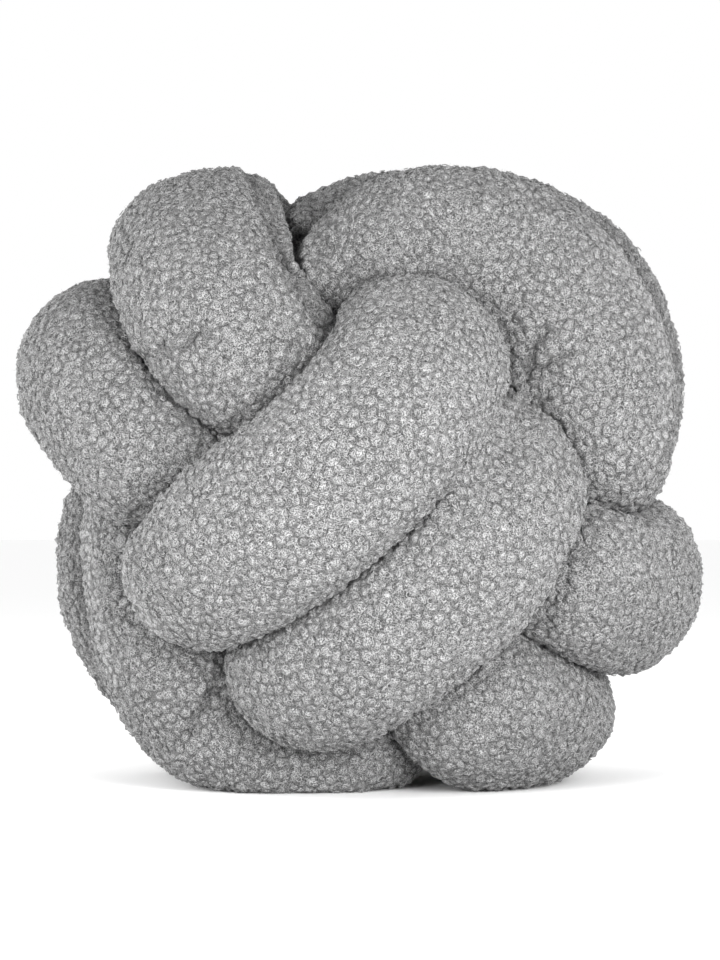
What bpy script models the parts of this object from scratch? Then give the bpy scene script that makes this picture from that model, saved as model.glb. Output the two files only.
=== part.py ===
"""Knot ball cushion: one long stuffed tube tied into a ball of three interlocked double rings.

Units are metres, +Z is up, and the ball rests on Z = 0 with its middle over the origin.
The tube goes twice round each of three rings that stand at right angles to each other. Each
ring lies over the next one and under the one before it, and both ends of the tube are tucked
into the middle of the ball. Where two passes press on each other they flatten, halfway between
their centrelines, and where the ball rests it is flat.
"""

import math

import bpy
import numpy as np
from mathutils.bvhtree import BVHTree

MM = 0.001

# The stuffed tube
TUBE_RADIUS = 40.0 * MM
CLOTH_GAP = 1.8 * MM
PRESSED_SQUARENESS = 7.0
BEND_SHARE = 0.85
PLUMPNESS = 0.25
MOST_SWELL = 1.15
SWELL_EVENING_ROUNDS = 12

# The rings: how far out a pass lies over a ring and under one, and half the pitch of its turns
OVER_REACH = 108.5 * MM
UNDER_REACH = 74.0 * MM
LANE_HALF_PITCH = 34.5 * MM
RING_SQUARENESS = 3.0

# Angles along a ring, two turns of 360: it is under the ring before it at 0 and 180, and it
# lies over the next one at 90 on the far side and at 270 on the near side of the ball
RING_START_DEG = 28.0
RING_STOP_DEG = 684.0
LAST_RING_STOP_DEG = 696.0
LANE_CHANGE_DEG = 34.0
RING_STEP_DEG = 3.0
FRONT_RING, SIDE_RING, TOP_RING = 0, 1, 2

# In the ball's middle the tube runs from one ring to the next through this point, which is
# given in half pitches along the ring's own axes, and each end stops short of the third one
TUCK_POINT = (0.70, 0.95, -0.35)
END_GAP_SHARE = 0.22

# Where the hand-tied tube strays from the even knot: ring, place along it and how far the
# change spreads in degrees, then outward, sideways and fuller in millimetres
STRAYS = (
    # ring, at_deg, spread_deg, out_mm, side_mm, fuller_mm
    (FRONT_RING, 90, 60, 0, 3, 0),
    (FRONT_RING, 180, 30, -6, 0, 0),
    (FRONT_RING, 225, 30, -1, 0, 0),
    (FRONT_RING, 270, 55, -9, -12, -5),
    (FRONT_RING, 330, 30, -19, 0, 0),
    (FRONT_RING, 450, 60, 0, -3, 0),
    (FRONT_RING, 535, 25, -20, 0, 0),
    (FRONT_RING, 580, 34, -7, -10, 4),
    (FRONT_RING, 630, 55, 4, -21, 0),
    (FRONT_RING, 680, 30, -9, 0, 0),
    (SIDE_RING, 70, 36, -24, 2, 0),
    (SIDE_RING, 92, 20, 6, 0, 0),
    (SIDE_RING, 130, 35, 10, 0, 0),
    (SIDE_RING, 158, 22, -7, 0, 0),
    (SIDE_RING, 225, 30, -8, 0, 0),
    (SIDE_RING, 268, 34, 21, 3, 0),
    (SIDE_RING, 302, 28, -19, 0, 0),
    (SIDE_RING, 432, 42, -37, -3, 2),
    (SIDE_RING, 452, 20, 8, 0, 0),
    (SIDE_RING, 495, 35, 12, 0, 0),
    (SIDE_RING, 518, 22, -7, 0, 0),
    (SIDE_RING, 590, 35, -11, 12, 0),
    (SIDE_RING, 630, 50, 0, -4, 0),
    (SIDE_RING, 660, 30, -4, 0, 0),
    (TOP_RING, 90, 55, 5, 33, 4),
    (TOP_RING, 225, 30, 0, 4, 0),
    (TOP_RING, 270, 55, -8, -4, 0),
    (TOP_RING, 320, 35, 0, -20, 0),
    (TOP_RING, 345, 28, -22, 0, -6),
    (TOP_RING, 450, 55, -4, 22, 0),
    (TOP_RING, 585, 30, 0, -4, 0),
    (TOP_RING, 630, 55, 4, -16, -1),
    (TOP_RING, 690, 35, 8, -30, 0),
)

# How the ball lies
BALL_CENTRE_HEIGHT = 130.0 * MM
FACE_TURN_DEG = 41.0
FACE_TILT_DEG = 5.0

# Fineness of the centreline and of the surface
PATH_STEP = 4.0 * MM
PATH_EVENING_ROUNDS = 60
NEIGHBOUR_STEP = 6.0 * MM
OWN_STRETCH = 105.0 * MM
SECTION_STEP = 12.0 * MM
SECTION_SIDES = 18

# Facets of two passes that still touch are drawn in, a little in each round
DRAW_IN_ROUNDS = 60
DRAW_IN_SHARE = 0.95
EVENING_HALF = 0.5

# The cloth's colour, as the fractions of linear light of a mid grey
CLOTH_COLOUR = (0.36, 0.36, 0.36, 1.0)
CLOTH_ROUGHNESS = 0.95

UNLIMITED = 10.0
TINY = 1e-9
SMALLEST_LIMIT = 0.1 * MM
SMALLEST_END_SHARE = 0.15


def signed_power(value, exponent):
    """The power of a number with its sign kept."""
    return math.copysign(abs(value) ** exponent, value)


def smooth_step(share):
    """0 to 1 with level ends."""
    share = min(1.0, max(0.0, share))
    return share * share * (3 - 2 * share)


def lane_at(angle_deg):
    """Sideways place of the tube on its ring: one lane in the first turn, the other in the next."""
    share = (angle_deg - 360.0 + LANE_CHANGE_DEG) / (2 * LANE_CHANGE_DEG)
    return LANE_HALF_PITCH * (2 * smooth_step(share) - 1)


def ring_row(ring, angle_deg):
    """The centreline in the ring's own axes, and how much fuller the tube is there."""
    angle = math.radians(angle_deg)
    across = UNDER_REACH * signed_power(math.cos(angle), 2 / RING_SQUARENESS)
    facing = -OVER_REACH * signed_power(math.sin(angle), 2 / RING_SQUARENESS)
    lane = lane_at(angle_deg)
    fuller = 0.0
    for strayed_ring, at_deg, spread_deg, out_mm, side_mm, fuller_mm in STRAYS:
        if strayed_ring != ring:
            continue
        share = math.exp(-(((angle_deg - at_deg) / spread_deg) ** 2))
        reach = math.hypot(across, facing)
        across += share * out_mm * MM * across / reach
        facing += share * out_mm * MM * facing / reach
        lane += share * side_mm * MM
        fuller += share * fuller_mm * MM
    return [across, lane, facing], fuller


def on_ring(point, ring):
    """A point given in a ring's own axes, turned into the ball's axes."""
    for _ in range(ring):
        point = [point[2], point[0], point[1]]
    return list(point)


def tube_path():
    """Rows of x, y, z and fuller along the whole tube, from one tucked end to the other."""
    tuck = [share * LANE_HALF_PITCH for share in TUCK_POINT]
    meeting = np.array(on_ring(tuck, TOP_RING))
    rows = []
    for ring in (FRONT_RING, SIDE_RING, TOP_RING):
        stop = LAST_RING_STOP_DEG if ring == TOP_RING else RING_STOP_DEG
        for angle_deg in np.arange(RING_START_DEG, stop + TINY, RING_STEP_DEG):
            point, fuller = ring_row(ring, angle_deg)
            rows.append(on_ring(point, ring) + [fuller])
        if ring != TOP_RING:
            rows.append(on_ring(tuck, ring) + [0.0])
    ends = []
    for row in (rows[0], rows[-1]):
        towards = np.array(row[:3]) - meeting
        ends.append(list(meeting + towards * END_GAP_SHARE) + [0.0])
    return np.array([ends[0]] + rows + [ends[1]])


def evenly_spaced(rows, step):
    """The same path with its rows about one step apart."""
    gaps = np.linalg.norm(np.diff(rows[:, :3], axis=0), axis=1)
    along = np.concatenate([[0.0], np.cumsum(gaps)])
    at = np.linspace(0.0, along[-1], round(along[-1] / step) + 1)
    columns = [np.interp(at, along, rows[:, column]) for column in range(rows.shape[1])]
    return np.stack(columns, axis=1), at


def evened(values, rounds):
    """Values along the tube, each drawn towards the mean of its two neighbours."""
    values = values.copy()
    for _ in range(rounds):
        mean = (values[:-2] + values[2:]) / 2
        values[1:-1] += EVENING_HALF * (mean - values[1:-1])
    return values


def section_axes(points):
    """Directions along the tube and two across it, with no twist from section to section."""
    forward = np.gradient(points, axis=0)
    forward /= np.linalg.norm(forward, axis=1, keepdims=True)
    across = points[0] - points.mean(axis=0)
    rows = []
    for direction in forward:
        across = across - direction * (direction @ across)
        across /= np.linalg.norm(across)
        rows.append(across)
    across = np.array(rows)
    return forward, across, np.cross(forward, across)


def room_around(points, along, forward, rays, path, path_along):
    """How far each ray may go before it meets another pass or the inside of its own bend."""
    room = np.full(rays.shape[:2], UNLIMITED)
    bend = np.gradient(forward, axis=0) / np.gradient(along)[:, None]
    for index, point in enumerate(points):
        others = path[np.abs(path_along - along[index]) > OWN_STRETCH] - point
        towards = np.maximum(rays[index] @ others.T, TINY)
        halfway = (others ** 2).sum(axis=1)[None] / (2 * towards)
        inward = np.maximum(rays[index] @ bend[index], TINY)
        own = BEND_SHARE / inward
        room[index] = np.minimum(halfway.min(axis=1) - CLOTH_GAP / 2, own)
    return np.clip(room, SMALLEST_LIMIT, UNLIMITED)


def tube_grid():
    """Section centres, rays across them, and the radius of the tube along each ray."""
    path, _ = evenly_spaced(tube_path(), PATH_STEP)
    path, path_along = evenly_spaced(evened(path, PATH_EVENING_ROUNDS), NEIGHBOUR_STEP)
    rows, along = evenly_spaced(path, SECTION_STEP)
    points, fuller = rows[:, :3], rows[:, 3]
    forward, across, sideways = section_axes(points)
    angles = 2 * math.pi * np.arange(SECTION_SIDES)[None, :, None] / SECTION_SIDES
    rays = np.cos(angles) * across[:, None] + np.sin(angles) * sideways[:, None]
    room = room_around(points, along, forward, rays, path[:, :3], path_along)
    filled = (np.minimum(room / TUBE_RADIUS, 1.0) ** 2).mean(axis=1)
    swell = evened(np.clip(filled ** -PLUMPNESS, 1.0, MOST_SWELL), SWELL_EVENING_ROUNDS)
    free = (TUBE_RADIUS * swell + fuller)[:, None]
    power = -PRESSED_SQUARENESS
    radius = (room ** power + free ** power) ** (1 / power)
    from_end = np.clip(np.minimum(along, along[-1] - along) / TUBE_RADIUS, 0.0, 1.0)
    end_share = np.maximum(np.sqrt(1 - (1 - from_end) ** 2), SMALLEST_END_SHARE)
    return points, rays, radius * end_share[:, None]


def laid_down(points):
    """Points in the ball's axes, turned to the way the ball lies and flat where it rests."""
    turn, tilt = math.radians(FACE_TURN_DEG), math.radians(FACE_TILT_DEG)
    right, front, up = np.array([1.0, 0, 0]), np.array([0, -1.0, 0]), np.array([0, 0, 1.0])
    along = math.cos(turn) * right + math.sin(turn) * up
    beside = math.cos(turn) * up - math.sin(turn) * right
    axes = [along,
            math.cos(tilt) * beside + math.sin(tilt) * front,
            math.cos(tilt) * front - math.sin(tilt) * beside]
    placed = points @ np.array(axes)
    placed[..., 2] = np.maximum(placed[..., 2] + BALL_CENTRE_HEIGHT, 0.0)
    return placed


def tube_triangles(sections, sides):
    """Triangles round every pair of sections, and a fan over each end."""
    triangles = []
    for section in range(sections - 1):
        for side in range(sides):
            a = section * sides + side
            b = section * sides + (side + 1) % sides
            triangles.append((a, b, b + sides))
            triangles.append((a, b + sides, a + sides))
    last = (sections - 1) * sides
    for side in range(1, sides - 1):
        triangles.append((0, side + 1, side))
        triangles.append((last, last + side, last + side + 1))
    return triangles


def touching(vertices, triangles):
    """Vertices of triangles that run into a triangle they don't share a vertex with."""
    tree = BVHTree.FromPolygons(vertices.tolist(), triangles)
    found = set()
    for first, second in tree.overlap(tree):
        one, other = set(triangles[first]), set(triangles[second])
        if not one & other:
            found |= one | other
    return sorted(found)


def surface():
    """Vertices and triangles of the laid ball, with passes that touched drawn apart."""
    points, rays, radius = tube_grid()
    triangles = tube_triangles(*radius.shape)
    share = np.ones(radius.shape)
    for _ in range(DRAW_IN_ROUNDS):
        grid = laid_down(points[:, None] + (radius * share)[..., None] * rays)
        found = touching(grid.reshape(-1, 3), triangles)
        if not found:
            break
        share.reshape(-1)[found] *= DRAW_IN_SHARE
        mean = (np.roll(share, 1, axis=1) + np.roll(share, -1, axis=1)) / 2
        share = np.minimum(share, (share + mean) / 2)
    vertices = grid.reshape(-1, 3)
    middle = (vertices.min(axis=0) + vertices.max(axis=0)) / 2
    vertices[:, :2] -= middle[:2]
    return vertices, triangles


def cloth_material():
    """Grey boucle cloth."""
    material = bpy.data.materials.new("boucle")
    material.use_nodes = True
    shader = material.node_tree.nodes["Principled BSDF"]
    shader.inputs["Base Color"].default_value = CLOTH_COLOUR
    shader.inputs["Roughness"].default_value = CLOTH_ROUGHNESS
    shader.inputs["Metallic"].default_value = 0.0
    return material


def build():
    """Clear the scene and add the tube as its only object."""
    for obj in list(bpy.data.objects):
        bpy.data.objects.remove(obj, do_unlink=True)
    vertices, triangles = surface()
    mesh = bpy.data.meshes.new("knotted_tube")
    mesh.from_pydata(vertices.tolist(), [], triangles)
    mesh.validate()
    mesh.shade_smooth()
    mesh.materials.append(cloth_material())
    tube = bpy.data.objects.new("knotted_tube", mesh)
    bpy.context.scene.collection.objects.link(tube)


build()
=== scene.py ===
"""The looks of the knot ball cushion: a stuffed tube of grey boucle fleece, tied into a ball.

The tube's cloth is a finer, pressed copy of its solid. Its pile is real geometry: nubs of curled
yarn all over what shows, loose curls on top of them and fine hairs that soften the outline.
"""

import math

import bpy
import numpy as np
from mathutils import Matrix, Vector, noise
from mathutils.bvhtree import BVHTree
from mathutils.kdtree import KDTree


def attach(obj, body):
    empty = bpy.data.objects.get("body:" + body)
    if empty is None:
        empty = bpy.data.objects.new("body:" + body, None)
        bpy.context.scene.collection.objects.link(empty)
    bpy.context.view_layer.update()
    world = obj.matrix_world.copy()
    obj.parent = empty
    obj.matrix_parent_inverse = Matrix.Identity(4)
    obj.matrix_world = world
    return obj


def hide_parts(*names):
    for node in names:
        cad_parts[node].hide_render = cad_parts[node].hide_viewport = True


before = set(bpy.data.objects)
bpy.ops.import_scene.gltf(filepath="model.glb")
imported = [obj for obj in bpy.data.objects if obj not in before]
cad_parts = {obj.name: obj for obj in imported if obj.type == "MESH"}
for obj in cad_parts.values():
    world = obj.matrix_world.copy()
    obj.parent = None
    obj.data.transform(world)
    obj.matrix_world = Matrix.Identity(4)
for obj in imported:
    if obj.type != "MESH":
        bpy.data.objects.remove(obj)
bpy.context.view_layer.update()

MM = 0.001

# The camera: level, straight at the near face, framed as the photograph is
PHOTO_LONG_SIDE = 960
CAMERA_DISTANCE = 1.5
CAMERA_HEIGHT = 131 * MM
PIXELS_PER_METRE = 2300
SENSOR = 36.0

# Studio light: name, place, size and watts of each, and where they aim
LIGHTS = (
    ("right_key", (0.26, -0.62, 0.20), 0.26, 5.5),
    ("left_key", (-0.26, -0.62, 0.20), 0.26, 3.7),
    ("left_side", (-1.3, 0.4, 0.2), 0.6, 20.0),
    ("right_side", (1.3, 0.4, 0.2), 0.6, 8.0),
)
LIGHTS_AIM = (0.0, 0.0, 0.13)
FLOOR_SIZE = 12.0

# Cloth: how close two pressed passes come, and how far a pass may swell to get there
SAME_CORNER = 0.02 * MM
CLOTH_SUBDIVISIONS = 2
PRESSED_GAP = 1.6 * MM
REACH_FOR_NEIGHBOUR = 16.0 * MM
MOST_SWELL = 4.0 * MM
SWELL_EVENING_ROUNDS = 12
LUMPS = ((24.0 * MM, 0.7 * MM), (11.0 * MM, 0.45 * MM))
OFF_CLOTH = 0.2 * MM

# Lines of the near side as the front view shows them: half width and rise along the normal in
# millimetres, how much painted shade they lay on the pile by narrowing its gaps (below 0: a painted
# highlight that makes it lighter), and places in millimetres right of the middle and above the
# floor
LINES = (
    # Folds, dented and with painted shade in them
    (3.0, -5.5, 1.0, ((-92, 184), (-66, 195))),
    (3.6, -4.5, 1.0, ((-48, 266), (-40, 246), (-33, 228), (-23, 210), (-14, 197))),
    (2.4, -4.0, 1.0, ((71, 181), (82, 198))),
    (2.4, -3.5, 0.8, ((73, 178), (92, 187))),
    (3.0, -4.5, 1.0, ((-63, 40), (-74, 22))),
    # Painted shade, with no dent, along the gaps behind the two edge-on front passes
    (1.8, 0.0, 1.0, ((-121.7, 122), (-122.2, 109), (-121.7, 92), (-119.6, 77), (-115.2, 57),
                     (-110.4, 41))),
    (1.7, 0.0, 0.9, ((106, 242), (117.4, 227.5), (126, 213.6), (131.3, 201.4), (136, 187.5),
                     (137.8, 172), (136.5, 155), (132, 141))),
    # Painted highlight along the edges of those passes, and along the left end of the upper front
    # pass
    (2.4, 0.0, -0.9, ((-117.5, 120), (-118, 107), (-117.5, 92), (-115.5, 79), (-111.5, 60),
                      (-106, 43))),
    (2.2, 0.0, -0.7, ((103.5, 239), (114.5, 225), (122.8, 211.8), (128, 200), (132.5, 186.5),
                      (134.2, 172), (133, 156), (128.5, 143))),
    (2.4, 0.0, -0.8, ((-104, 106), (-102.5, 90), (-96, 75), (-87, 63))),
)
LINES_REACH_BACK = 60 * MM
LINES_FACING = (2.0, 0.6)
# The most painted shade a line lays, and the room it takes from the gaps for each unit of it
MOST_PAINTED_SHADE = 1.5
PAINTED_SHADE_ROOM = 1.6 * MM
# How much a line's painted highlight adds to the tone of its nubs
PAINTED_HIGHLIGHT_TONE = 4.0

# Outer edges: degrees around the ball's middle in the front view, anticlockwise from the right,
# and how far the edge there moves out in millimetres, for the near passes and for those behind.
# The move grows from none to full between two distances from the middle, and changes from the
# near passes' to the rear ones' between two depths. The rows are given after the
# differences measured every 6 degrees between the outlines of the photograph and of a render
NEAR_EDGE_SHIFTS = (
    (-54, 0.0), (-48, 1.5), (-42, 2.5), (-36, 0.8), (-30, 0.0), (-24, 1.2), (-10, 1.2), (0, 1.5),
    (6, 1.5), (10, 2.0), (16, 4.0), (22, 5.0), (30, 6.0), (46, 8.0), (60, 6.0), (66, 5.0),
    (72, 3.0), (84, 2.4), (90, 1.5), (96, 0.5), (101, 2.0), (108, 6.0), (114, -1.8), (122, -3.0),
    (127, -1.0), (135, -0.5), (150, 0.0), (160, 1.2), (168, -1.5), (174, -6.0), (180, -7.5),
    (192, -7.0), (198, -5.5), (204, -4.0), (212, -1.5), (218, 0.0))
REAR_EDGE_SHIFTS = (
    (-54, 0.0), (-48, 1.5), (-42, 2.5), (-36, 0.8), (-30, 0.0), (-24, 1.2), (-10, 1.2), (0, 2.5),
    (10, 3.0), (22, 2.0), (30, 1.6), (40, 3.0), (60, 2.6), (72, 2.5), (90, 1.6), (96, 0.5),
    (101, 2.0), (108, 6.0), (114, -1.8), (122, -3.0), (127, -1.0), (135, -0.5), (150, 0.0),
    (160, 1.2), (168, -1.5), (174, -6.0), (180, -7.5), (187, -5.0), (192, -1.6), (198, 0.0),
    (204, 2.5), (212, 2.0), (222, -1.5), (230, 0.0))
EDGE_FROM, EDGE_TO = 100.0, 135.0
EDGE_REAR_FROM, EDGE_REAR_TO = 0.0, 8.0 * MM

# Valleys between passes that are filled to a shallow dip: the upper half of the one between the
# two front passes, and the gap beside the upper pass's left end. Each row: its line as above, how
# far it reaches to each side in millimetres, the dip's depth, and the shares of the line over
# which it fades in and out
VALLEYS = (
    (((30, 112), (69, 177)), 11.0, 3.2 * MM, 0.30, 0.12),
    (((-18, 205), (-32, 248)), 9.0, 2.6 * MM, 0.25, 0.10),
)
VALLEY_EVENING_ROUNDS = 3
VALLEY_STATIONS = 14
VALLEY_DEEPEST = 32.0 * MM
VALLEY_TURNED_AWAY = 0.35

# Pile: clumps of curled yarn
NUB_SPACING = 3.2 * MM
NUB_RADIUS = (1.8 * MM, 3.9 * MM)
NUB_LONGER = 1.4
NUB_HEIGHT_SHARE = 0.66
NUB_SINK = 0.30
NUB_RAGGED = 0.25
NUBS_PER_PIECE = 9500
TRIES_A_POINT = 4
NEIGHBOURS = 6
# Room given to a nub's lower corners: they lie wholly in the painted gap shade
NO_ROOM = -1.0 * MM

# Pile: how far a nub's curl lies off its middle, and the place and the lightness that loose yarn
# has in the cloth's colour: on a curl's ridge, clear of every gap
CURL_STRAY = 1.2 * MM
ON_TOP = (0.35 * MM, 0.0, 4.0 * MM)
CURL_TONE = 6.0
HAIR_TONE = 0.8

# Pile: loose curls, arcs of yarn that stand on the nubs
CURL_SPACING = 5.8 * MM
CURL_RADIUS = (0.8 * MM, 1.5 * MM)
YARN_RADIUS = 0.24 * MM
CURL_ARC_DEG = 230.0
CURL_STEPS = 5
CURL_RAISED = (0.7 * MM, 1.5 * MM)
CURL_LEAN = 0.3
YARN_SIDES = 3

# Pile: fine hairs
HAIR_SPACING = 4.0 * MM
HAIR_LENGTH = (1.4 * MM, 3.0 * MM)
HAIR_THICKNESS = 0.10 * MM
HAIR_LEAN = 0.55

# Boucle fleece: the spiral of a nub's yarn and how unevenly it lies, the grain of its fibres, and
# the gaps between nubs, wide in some places and closed in others, and the lightness left by the
# painted shade in them
YARN_PITCH = 1.5 * MM
YARN_RIDGE = (0.22, 0.45)
STRAY_SIZE = 1.8 * MM
STRAY_REACH = (1.6 * MM, 1.6 * MM, 1.5 * MM)
GRAIN_SIZE = 0.47 * MM
GRAIN_EDGES = (0.41, 0.59)
FADING_SIZE = 5.0 * MM
FADING_EDGES = (0.35, 0.65)
GAP_START = -0.4 * MM
GAP_WIDTH = (-0.1 * MM, 0.95 * MM)
GAP_PAINTED_SHADE = 0.58

# Boucle fleece: its darkest and lightest grey, what each part adds to the lightness, and how deep
# each part looks
DARK_YARN, LIGHT_YARN = "#3f3f3f", "#9c9c9c"
RIDGE_SHARE, GRAIN_SHARE, TONE_SHARE = 0.17, 0.73, 0.10
GAP_DEPTH, YARN_DEPTH, GRAIN_DEPTH = 0.35 * MM, 0.25 * MM, 0.3 * MM

SEED = 11


def linear(hex_colour):
    """An sRGB hex colour as linear RGBA."""
    parts = [int(hex_colour[i:i + 2], 16) / 255 for i in (1, 3, 5)]
    return [p / 12.92 if p <= 0.04045 else ((p + 0.055) / 1.055) ** 2.4 for p in parts] + [1.0]


def add_node(tree, kind, links=None, values=None, **settings):
    """Add one node with its settings, its input values and its incoming links."""
    node = tree.nodes.new(kind)
    for name, value in settings.items():
        setattr(node, name, value)
    for socket, value in (values or {}).items():
        node.inputs[socket].default_value = value
    for socket, source in (links or {}).items():
        tree.links.new(source, node.inputs[socket])
    return node


def steps(tree, source, edges, smooth=False):
    """From 0 at the first edge of a value to 1 at the second."""
    kind = "SMOOTHSTEP" if smooth else "LINEAR"
    return add_node(tree, "ShaderNodeMapRange", {"Value": source},
                    {"From Min": edges[0], "From Max": edges[1]}, interpolation_type=kind)


def only(obj):
    """Deselect all and make one object active and selected."""
    bpy.ops.object.select_all(action="DESELECT")
    obj.select_set(True)
    bpy.context.view_layer.objects.active = obj


def vertex_arrays(mesh):
    """Places and normals of a mesh's vertices."""
    places = np.empty(len(mesh.vertices) * 3)
    mesh.vertices.foreach_get("co", places)
    normals = np.empty(len(mesh.vertices) * 3)
    mesh.vertex_normals.foreach_get("vector", normals)
    return places.reshape(-1, 3), normals.reshape(-1, 3)


def mesh_tree(mesh):
    """A ray tree of a mesh."""
    return BVHTree.FromPolygons([v.co for v in mesh.vertices], [p.vertices for p in mesh.polygons])


def clear_way(tree, places, normals, start, reach):
    """How far each point sees along its normal before it meets cloth, up to a reach."""
    found = np.full(len(places), reach)
    for index, (place, normal) in enumerate(zip(places, normals)):
        distance = tree.ray_cast(Vector(place + normal * start), Vector(normal), reach)[3]
        if distance is not None:
            found[index] = distance + start
    return found


def evened_over_edges(mesh, values, rounds):
    """Values at vertices, each mixed with the mean of its neighbours."""
    edges = np.empty(len(mesh.edges) * 2, dtype=np.int64)
    mesh.edges.foreach_get("vertices", edges)
    a, b = edges.reshape(-1, 2).T
    count = np.bincount(a, minlength=len(values)) + np.bincount(b, minlength=len(values))
    for _ in range(rounds):
        total = np.bincount(a, values[b], len(values)) + np.bincount(b, values[a], len(values))
        values = (values + total / np.maximum(count, 1)) / 2
    return values


def front_view(places):
    """Where places show in the front view: millimetres right of the middle, above the floor."""
    nearer = CAMERA_DISTANCE / (CAMERA_DISTANCE + places[:, 1])
    height = (places[:, 2] - CAMERA_HEIGHT) * nearer + CAMERA_HEIGHT
    return places[:, 0] * nearer / MM, height / MM


def beside_line(across, height, start, end):
    """Each point's share of the way along a line, unclipped, and its signed distance from it."""
    run_x, run_z = end[0] - start[0], end[1] - start[1]
    length = math.hypot(run_x, run_z)
    along = ((across - start[0]) * run_x + (height - start[1]) * run_z) / length ** 2
    return along, ((across - start[0]) * run_z - (height - start[1]) * run_x) / length


def on_lines(places, normals):
    """How near each point of the near side lies to each line, from 0 to 1: (lines, points)."""
    across, height = front_view(places)
    gain, offset = LINES_FACING
    near_side = np.clip(offset - gain * normals[:, 1], 0.0, 1.0) * (places[:, 1] < LINES_REACH_BACK)
    shares = []
    for half_width, _, _, line in LINES:
        away = np.full(len(places), np.inf)
        for start, end in zip(line, line[1:]):
            along = np.clip(beside_line(across, height, start, end)[0], 0.0, 1.0)
            away = np.minimum(away, np.hypot(across - start[0] - along * (end[0] - start[0]),
                                             height - start[1] - along * (end[1] - start[1])))
        shares.append(np.exp(-(away / half_width) ** 2) * near_side)
    return np.array(shares)


def smooth_step(values, start, end):
    """0 before the start, 1 past the end, smooth between them."""
    share = np.clip((values - start) / (end - start), 0.0, 1.0)
    return share * share * (3 - 2 * share)


def edge_shift(places):
    """How far each point moves out from the ball's middle in the front view."""
    across, height = front_view(places)
    height = height - CAMERA_HEIGHT / MM
    middle = np.hypot(across, height)
    angles = (np.degrees(np.arctan2(height, across)) + 90) % 360 - 90
    near = np.interp(angles, *np.array(NEAR_EDGE_SHIFTS).T)
    rear = np.interp(angles, *np.array(REAR_EDGE_SHIFTS).T)
    behind = smooth_step(places[:, 1], EDGE_REAR_FROM, EDGE_REAR_TO)
    shift = (near * (1 - behind) + rear * behind) * MM * smooth_step(middle, EDGE_FROM, EDGE_TO)
    return np.stack([across * shift, 0 * shift, height * shift], axis=1) / middle[:, None]


def fill_valley(mesh, tree, places, normals, line, side, dip, fade_in, fade_out):
    """Bring the points of a valley between two passes forward to a shallow dip."""
    start, end = np.array(line[0], float), np.array(line[1], float)
    way = (end - start) / np.linalg.norm(end - start)
    right = np.array([way[1], -way[0]])
    shares = np.linspace(0.0, 1.0, VALLEY_STATIONS)
    banks = []
    for bank_side in (-side, side):
        depths = []
        for share in shares:
            x, z = start + share * (end - start) + bank_side * right
            aim = Vector((x * MM, CAMERA_DISTANCE, z * MM - CAMERA_HEIGHT)).normalized()
            depths.append(tree.ray_cast(Vector((0, -CAMERA_DISTANCE, CAMERA_HEIGHT)), aim)[0].y)
        banks.append(depths)
    along, off = beside_line(*front_view(places), *line)
    off = off / side
    left, right_bank = (np.interp(along, shares, bank) for bank in banks)
    filled = left + (right_bank - left) * (off + 1) / 2 + dip * (1 - off ** 2)
    fade = np.clip(np.minimum(along / fade_in, (1 - along) / fade_out), 0.0, 1.0)
    behind = places[:, 1] - filled
    inside = (np.abs(off) < 1) & (behind > 0) & (behind < VALLEY_DEEPEST)
    forward = np.where(inside & (normals[:, 1] < VALLEY_TURNED_AWAY), behind * fade, 0.0)
    places[:, 1] -= evened_over_edges(mesh, forward, VALLEY_EVENING_ROUNDS)


def cloth_tube():
    """The tube's cloth: its solid made finer, its passes swollen until they press together."""
    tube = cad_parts["knotted_tube"].copy()
    tube.data = tube.data.copy()
    tube.name = "boucle_tube"
    bpy.context.scene.collection.objects.link(tube)
    only(tube)
    bpy.ops.object.mode_set(mode="EDIT")
    bpy.ops.mesh.select_all(action="SELECT")
    bpy.ops.mesh.remove_doubles(threshold=SAME_CORNER)
    bpy.ops.mesh.tris_convert_to_quads()
    bpy.ops.object.mode_set(mode="OBJECT")
    finer = tube.modifiers.new("finer", "SUBSURF")
    finer.levels = finer.render_levels = CLOTH_SUBDIVISIONS
    bpy.ops.object.modifier_apply(modifier="finer")

    mesh = tube.data
    places, normals = vertex_arrays(mesh)
    way = clear_way(mesh_tree(mesh), places, normals, OFF_CLOTH, REACH_FOR_NEIGHBOUR)
    swell = np.clip((way - PRESSED_GAP) / 2, 0.0, MOST_SWELL)
    swell *= np.clip(2 * (1 - way / REACH_FOR_NEIGHBOUR), 0.0, 1.0)
    swell = evened_over_edges(mesh, swell, SWELL_EVENING_ROUNDS)
    for size, depth in LUMPS:
        swell += [depth * noise.noise(Vector(place / size)) for place in places]
    places = places + normals * swell[:, None]
    mesh.vertices.foreach_set("co", places.ravel())
    mesh.update()
    tree = mesh_tree(mesh)
    for valley in VALLEYS:
        fill_valley(mesh, tree, places, normals, *valley)
    places += edge_shift(places)
    rises = np.array([line[1] * MM for line in LINES])
    places += normals * (rises @ on_lines(places, normals))[:, None]
    places[:, 2] = np.maximum(places[:, 2], 0.0)
    mesh.vertices.foreach_set("co", places.ravel())
    mesh.update()
    mesh.shade_smooth()
    return tube


def shown(mesh, tree):
    """Whether each vertex can be seen: a straight way out, ahead or away from the ball's middle."""
    places, normals = vertex_arrays(mesh)
    outward = places - places.mean(axis=0)
    outward /= np.linalg.norm(outward, axis=1, keepdims=True)
    found = np.zeros(len(places), dtype=bool)
    for share in (0.0, 0.5, 1.0):
        way = normals * (1 - share) + outward * share
        for index in np.flatnonzero(~found & (np.einsum("ij,ij->i", normals, way) > 0)):
            start = Vector(places[index] + normals[index] * OFF_CLOTH)
            found[index] = tree.ray_cast(start, Vector(way[index]))[0] is None
    return found & (places[:, 2] > OFF_CLOTH)


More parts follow.
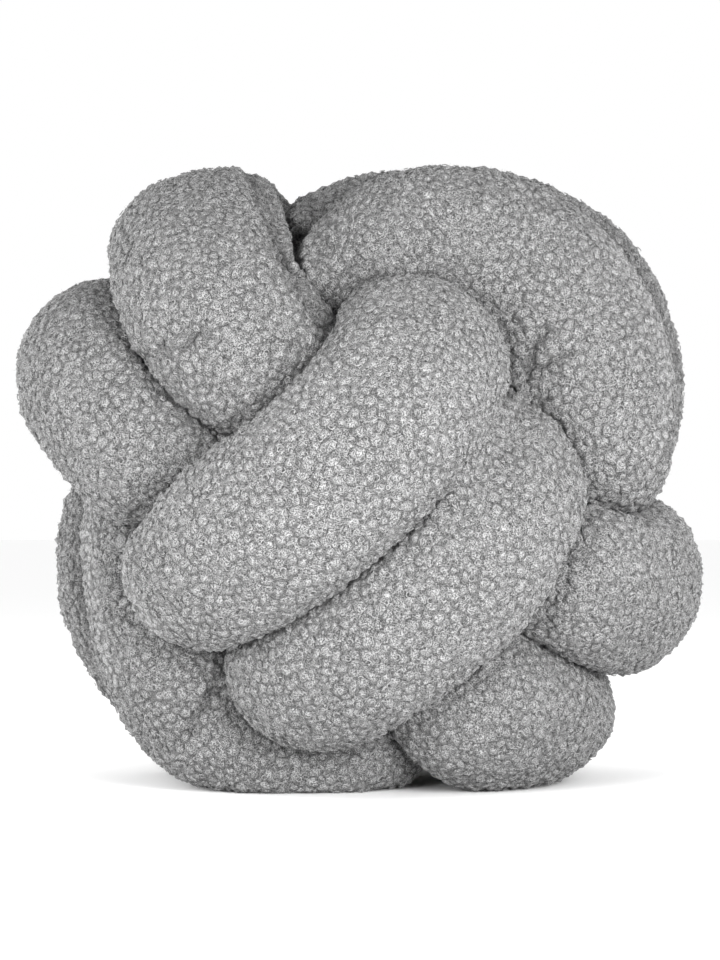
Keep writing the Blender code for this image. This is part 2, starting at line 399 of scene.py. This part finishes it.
def spread_points(mesh, seen, spacing, rng):
    """Points about a spacing apart on the cloth that shows, with the normals there."""
    triangles = np.array([tuple(t.vertices) for t in mesh.loop_triangles])
    triangles = triangles[seen[triangles].any(axis=1)]
    places, normals = vertex_arrays(mesh)
    corners = places[triangles]
    sides = corners[:, 1:] - corners[:, :1]
    area = np.linalg.norm(np.cross(sides[:, 0], sides[:, 1]), axis=1) / 2
    tries = int(area.sum() / spacing ** 2 * TRIES_A_POINT)
    chosen = rng.choice(len(triangles), tries, p=area / area.sum())
    r1, r2 = np.sqrt(rng.random(tries)), rng.random(tries)
    weights = np.stack([1 - r1, r1 * (1 - r2), r1 * r2], axis=1)
    points = (corners[chosen] * weights[..., None]).sum(axis=1)
    facing = (normals[triangles[chosen]] * weights[..., None]).sum(axis=1)
    facing /= np.linalg.norm(facing, axis=1, keepdims=True)
    kept = thinned(points, spacing)
    return points[kept], facing[kept]


def thinned(points, spacing):
    """Indices of points of which no two are nearer than a spacing."""
    cells = {}
    kept = []
    keys = np.floor(points / spacing).astype(int)
    around = [(i, j, k) for i in (-1, 0, 1) for j in (-1, 0, 1) for k in (-1, 0, 1)]
    for index, (x, y, z) in enumerate(keys):
        point = points[index]
        near = [p for i, j, k in around for p in cells.get((x + i, y + j, z + k), ())]
        if near and np.min(((np.array(near) - point) ** 2).sum(axis=1)) < spacing ** 2:
            continue
        cells.setdefault((x, y, z), []).append(point)
        kept.append(index)
    return np.array(kept)


def axes_beside(normals, rng):
    """Two directions across each normal, turned at random."""
    guess = rng.normal(size=normals.shape)
    first = np.cross(normals, guess)
    first /= np.linalg.norm(first, axis=1, keepdims=True)
    return first, np.cross(normals, first)


def joined(name, shapes, faces, curl, tone):
    """One mesh of many copies of a shape: places (copies, vertices, 3), one list of faces.

    curl is each point's place across its own nub and its distance from the next nub's side, less
    along lines of painted shade, which sets the painted shade in the gaps; tone is how light its
    yarn is, painted highlight along some edges included. Nothing lies below the floor.
    """
    copies, count = shapes.shape[:2]
    corners = len(faces[0])
    shapes[..., 2] = np.maximum(shapes[..., 2], 0.0)
    all_faces = (np.array(faces)[None] + np.arange(copies)[:, None, None] * count).reshape(-1)
    mesh = bpy.data.meshes.new(name)
    mesh.vertices.add(copies * count)
    mesh.vertices.foreach_set("co", shapes.reshape(-1))
    mesh.loops.add(len(all_faces))
    mesh.loops.foreach_set("vertex_index", all_faces)
    mesh.polygons.add(len(all_faces) // corners)
    mesh.polygons.foreach_set("loop_start", np.arange(0, len(all_faces), corners))
    curl_places = mesh.attributes.new("curl", "FLOAT_VECTOR", "POINT")
    curl_places.data.foreach_set("vector", curl.reshape(-1))
    tones = mesh.attributes.new("tone", "FLOAT", "POINT")
    tones.data.foreach_set("value", tone.reshape(-1))
    mesh.update(calc_edges=True)
    mesh.shade_smooth()
    piece = bpy.data.objects.new(name, mesh)
    bpy.context.scene.collection.objects.link(piece)
    return piece


def ball_shape():
    """A ball of twenty faces: its corner places and its faces."""
    bpy.ops.mesh.primitive_ico_sphere_add(subdivisions=1, radius=1.0)
    ball = bpy.context.object
    places = np.array([v.co for v in ball.data.vertices])
    faces = [tuple(p.vertices) for p in ball.data.polygons]
    bpy.data.objects.remove(ball, do_unlink=True)
    return places, faces


def room_beside(places, centre, radius, upper):
    """How far each upper point of a nub lies inside its own side of the line to the next nub."""
    tree = KDTree(len(centre))
    for index, place in enumerate(centre):
        tree.insert(place, index)
    tree.balance()
    room = np.full(places.shape[:2], NO_ROOM)
    for index in range(len(places)):
        for corner in upper:
            found = tree.find_n(places[index, corner], NEIGHBOURS)
            shares = {near: away / radius[near] for _, near, away in found}
            own = shares.pop(index, 1.0)
            room[index, corner] = (min(shares.values()) - own) * radius[index]
    return room


def nubs(points, normals, rng):
    """Clumps of curled yarn, ragged low mounds, as a few joined pieces."""
    shape, faces = ball_shape()
    count = len(points)
    first, second = axes_beside(normals, rng)
    radius = rng.uniform(*NUB_RADIUS, count)[:, None, None]
    longer = rng.uniform(1.0, NUB_LONGER, count)[:, None]
    ragged = 1 + rng.uniform(-NUB_RAGGED, NUB_RAGGED, (count, len(shape), 1))
    local = shape[None] * radius * ragged
    local[..., 0] *= longer
    local[..., 1] /= longer
    local[..., 2] *= NUB_HEIGHT_SHARE
    centre = points - normals * radius[:, 0] * NUB_SINK * NUB_HEIGHT_SHARE
    places = (centre[:, None] + local[..., :1] * first[:, None] + local[..., 1:2] * second[:, None]
              + local[..., 2:] * normals[:, None])
    strays = rng.uniform(-CURL_STRAY, CURL_STRAY, (count, 1, 2))
    room = room_beside(places, centre, radius[:, 0, 0], np.flatnonzero(shape[:, 2] > 0))
    # pressed: painted shade along the lines, as less room and so darker gaps; below 0, painted
    # highlight
    pressed = np.array([line[2] for line in LINES]) @ on_lines(points, normals)
    room -= PAINTED_SHADE_ROOM * np.clip(pressed, 0.0, MOST_PAINTED_SHADE)[:, None]
    curl = np.concatenate([local[..., :2] + strays, room[..., None]], axis=2)
    # A random tone for each nub, plus painted highlight along some edges
    tone = rng.random(count) + PAINTED_HIGHLIGHT_TONE * np.clip(-pressed, 0.0, 1.0)
    tone = np.broadcast_to(tone[:, None], (count, len(shape)))
    pieces = []
    for number, start in enumerate(range(0, count, NUBS_PER_PIECE)):
        part = slice(start, start + NUBS_PER_PIECE)
        pieces.append(joined(f"nubs_{number + 1}", places[part], faces, curl[part], tone[part]))
    return pieces


def curls(points, normals, rng):
    """Loose curls: arcs of yarn, its section a triangle, that stand or lie on the nubs."""
    count = len(points)
    first, second = axes_beside(normals, rng)
    lean = rng.uniform(0.0, CURL_LEAN, count)[:, None]
    across = first * (1 - lean) + normals * lean
    across /= np.linalg.norm(across, axis=1, keepdims=True)
    radius = rng.uniform(*CURL_RADIUS, count)[:, None]
    centre = points + normals * rng.uniform(*CURL_RAISED, count)[:, None]
    angles = np.radians(np.linspace(0, CURL_ARC_DEG, CURL_STEPS + 1))[None, :, None]
    start = rng.uniform(0, 2 * math.pi, count)[:, None, None]
    out = np.cos(angles + start) * across[:, None] + np.sin(angles + start) * second[:, None]
    axis = np.cross(across, second)[:, None]
    middle = centre[:, None] + out * radius[:, None]
    rings = []
    for side in range(YARN_SIDES):
        turn = 2 * math.pi * side / YARN_SIDES
        rings.append(middle + YARN_RADIUS * (math.cos(turn) * out + math.sin(turn) * axis))
    places = np.stack(rings, axis=2).reshape(count, -1, 3)
    faces = []
    for step in range(CURL_STEPS):
        for side in range(YARN_SIDES):
            a, b = step * YARN_SIDES + side, step * YARN_SIDES + (side + 1) % YARN_SIDES
            faces += [(a, b, b + YARN_SIDES), (a, b + YARN_SIDES, a + YARN_SIDES)]
    last = CURL_STEPS * YARN_SIDES
    faces += [(0, 2, 1), (last, last + 1, last + 2)]
    curl = np.broadcast_to(ON_TOP, places.shape).copy()
    return joined("curls", places, faces, curl, np.full(places.shape[:2], CURL_TONE))


def hairs(points, normals, rng):
    """Fine hairs: leaning spikes of three sides."""
    count = len(points)
    first, second = axes_beside(normals, rng)
    lean = rng.normal(0, HAIR_LEAN, (count, 2))
    tip = normals + lean[:, :1] * first + lean[:, 1:] * second
    length = rng.uniform(*HAIR_LENGTH, count)[:, None]
    root = points + normals * OFF_CLOTH
    places = [root + HAIR_THICKNESS * (math.cos(a) * first + math.sin(a) * second)
              for a in (0, 2 * math.pi / 3, 4 * math.pi / 3)]
    places.append(root + tip / np.linalg.norm(tip, axis=1, keepdims=True) * length)
    faces = [(0, 2, 1), (0, 1, 3), (1, 2, 3), (2, 0, 3)]
    places = np.stack(places, axis=1)
    curl = np.broadcast_to(ON_TOP, places.shape).copy()
    return joined("hairs", places, faces, curl, np.full(places.shape[:2], HAIR_TONE))


def boucle():
    """Boucle fleece of grey polyester, knitted with its yarn left in loops and brushed into curls.

    Matt and without shine, with painted shade between its curls, and a little pale where it is seen
    along the cloth. The grain of its fibres, too fine to show at its real 0.02 mm, is as coarse as
    it needs.
    """
    material = bpy.data.materials.new("boucle_fleece")
    material.use_nodes = True
    tree = material.node_tree
    shader = tree.nodes["Principled BSDF"]
    shader.inputs["Roughness"].default_value = 0.9
    shader.inputs["IOR"].default_value = 1.45
    shader.inputs["Specular IOR Level"].default_value = 0.3
    shader.inputs["Sheen Weight"].default_value = 0.22
    shader.inputs["Sheen Roughness"].default_value = 0.35
    place = add_node(tree, "ShaderNodeTexCoord").outputs["Object"]
    curl_place = add_node(tree, "ShaderNodeAttribute", attribute_name="curl").outputs["Vector"]
    tone = add_node(tree, "ShaderNodeAttribute", attribute_name="tone").outputs["Fac"]

    # Each nub is a curl of yarn: a spiral line, bent by a fine unevenness
    stray = add_node(tree, "ShaderNodeTexNoise", {"Vector": place},
                     {"Scale": 1 / STRAY_SIZE, "Detail": 1.0})
    centred = add_node(tree, "ShaderNodeVectorMath", {0: stray.outputs["Color"]},
                       {1: (0.5, 0.5, 0.5)}, operation="SUBTRACT")
    bent = add_node(tree, "ShaderNodeVectorMath", {0: centred.outputs[0], 2: curl_place},
                    {1: STRAY_REACH}, operation="MULTIPLY_ADD")
    split = add_node(tree, "ShaderNodeSeparateXYZ", {0: bent.outputs[0]})
    flat = add_node(tree, "ShaderNodeCombineXYZ", {0: split.outputs[0], 1: split.outputs[1]})
    out = add_node(tree, "ShaderNodeVectorMath", {0: flat.outputs[0]}, operation="LENGTH")
    turns = add_node(tree, "ShaderNodeMath", {0: out.outputs["Value"]}, {1: 1 / YARN_PITCH},
                     operation="MULTIPLY")
    angle = add_node(tree, "ShaderNodeMath", {0: split.outputs[1], 1: split.outputs[0]},
                     operation="ARCTAN2")
    wound = add_node(tree, "ShaderNodeMath", {0: angle.outputs[0], 2: turns.outputs[0]},
                     {1: 1 / (2 * math.pi)}, operation="MULTIPLY_ADD")
    yarn = add_node(tree, "ShaderNodeMath", {0: wound.outputs[0]}, {1: 0.5}, operation="PINGPONG")
    ridge = steps(tree, yarn.outputs[0], YARN_RIDGE, smooth=True)
    fibres = add_node(tree, "ShaderNodeTexNoise", {"Vector": place},
                      {"Scale": 1 / GRAIN_SIZE, "Detail": 0.0})
    grain = steps(tree, fibres.outputs["Fac"], GRAIN_EDGES)

    # Gaps between nubs, wide in some places and closed in others: a bump, and painted shade in the
    # colour
    fading = add_node(tree, "ShaderNodeTexNoise", {"Vector": place},
                      {"Scale": 1 / FADING_SIZE, "Detail": 1.0})
    gap_width = steps(tree, fading.outputs["Fac"], FADING_EDGES)
    gap_width.inputs["To Min"].default_value, gap_width.inputs["To Max"].default_value = GAP_WIDTH
    gap = add_node(tree, "ShaderNodeMapRange",
                   {"Value": split.outputs[2], "From Max": gap_width.outputs[0]},
                   {"From Min": GAP_START}, interpolation_type="SMOOTHSTEP")
    # low: the painted shade of the gaps, a multiplier on the colour
    low = add_node(tree, "ShaderNodeMapRange", {"Value": gap.outputs[0]}, {"To Min": GAP_PAINTED_SHADE})

    # Light on the yarn's ridges, its fibres and some nubs, with painted highlight along some edges
    # through the tone, and painted shade in the gaps
    total = None
    for source, share in ((ridge.outputs[0], RIDGE_SHARE), (grain.outputs[0], GRAIN_SHARE),
                          (tone, TONE_SHARE)):
        values = {1: share} if total is not None else {1: share, 2: 0.0}
        links = {0: source} if total is None else {0: source, 2: total}
        added = add_node(tree, "ShaderNodeMath", links, values, operation="MULTIPLY_ADD")
        total = added.outputs[0]
    light = add_node(tree, "ShaderNodeMix", {0: total}, data_type="RGBA")
    light.inputs["A"].default_value = linear(DARK_YARN)
    light.inputs["B"].default_value = linear(LIGHT_YARN)
    shaded = add_node(tree, "ShaderNodeMix", {"A": light.outputs["Result"], "B": low.outputs[0]},
                      {0: 1.0}, data_type="RGBA", blend_type="MULTIPLY")
    tree.links.new(shaded.outputs["Result"], shader.inputs["Base Color"])

    below = None
    for source, depth in ((gap, GAP_DEPTH), (ridge, YARN_DEPTH), (grain, GRAIN_DEPTH)):
        links = {"Height": source.outputs[0]}
        if below is not None:
            links["Normal"] = below
        bump = add_node(tree, "ShaderNodeBump", links, {"Strength": 1.0, "Distance": depth})
        below = bump.outputs[0]
    tree.links.new(below, shader.inputs["Normal"])
    return material


def plain(name, hex_colour, roughness):
    """A plain matt paint for the studio floor, even and without shine."""
    material = bpy.data.materials.new(name)
    material.use_nodes = True
    shader = material.node_tree.nodes["Principled BSDF"]
    shader.inputs["Base Color"].default_value = linear(hex_colour)
    shader.inputs["Roughness"].default_value = roughness
    return material


def studio():
    """Pale floor, soft lights and the camera."""
    bpy.ops.mesh.primitive_plane_add(size=FLOOR_SIZE, location=(0, 0, 0))
    floor = bpy.context.object
    floor.name = "floor"
    floor.data.materials.append(plain("pale_floor", "#fafafa", 0.9))

    world = bpy.data.worlds.new("studio")
    bpy.context.scene.world = world
    world.use_nodes = True
    background = world.node_tree.nodes["Background"]
    background.inputs["Color"].default_value = linear("#ffffff")
    background.inputs["Strength"].default_value = 1.0
    bpy.context.scene.view_settings.view_transform = "Standard"

    for name, place, size, watts in LIGHTS:
        light = bpy.data.lights.new(name, "AREA")
        light.size = size
        light.energy = watts
        lamp = bpy.data.objects.new(name, light)
        lamp.location = place
        aim = Vector(LIGHTS_AIM) - lamp.location
        lamp.rotation_euler = aim.to_track_quat("-Z", "Y").to_euler()
        bpy.context.scene.collection.objects.link(lamp)

    view = bpy.data.cameras.new("camera")
    view.sensor_width = SENSOR
    view.lens = SENSOR * CAMERA_DISTANCE * PIXELS_PER_METRE / PHOTO_LONG_SIDE
    camera = bpy.data.objects.new("camera", view)
    camera.location = (0, -CAMERA_DISTANCE, CAMERA_HEIGHT)
    camera.rotation_euler = (math.radians(90), 0, 0)
    bpy.context.scene.collection.objects.link(camera)
    bpy.context.scene.camera = camera


studio()
rng = np.random.default_rng(SEED)
tube = cloth_tube()
seen = shown(tube.data, mesh_tree(tube.data))
pile = []
pile += nubs(*spread_points(tube.data, seen, NUB_SPACING, rng), rng)
pile.append(curls(*spread_points(tube.data, seen, CURL_SPACING, rng), rng))
pile.append(hairs(*spread_points(tube.data, seen, HAIR_SPACING, rng), rng))
cloth = boucle()
for piece in [tube] + pile:
    piece.data.materials.clear()
    piece.data.materials.append(cloth)
    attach(piece, "root")
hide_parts("knotted_tube")
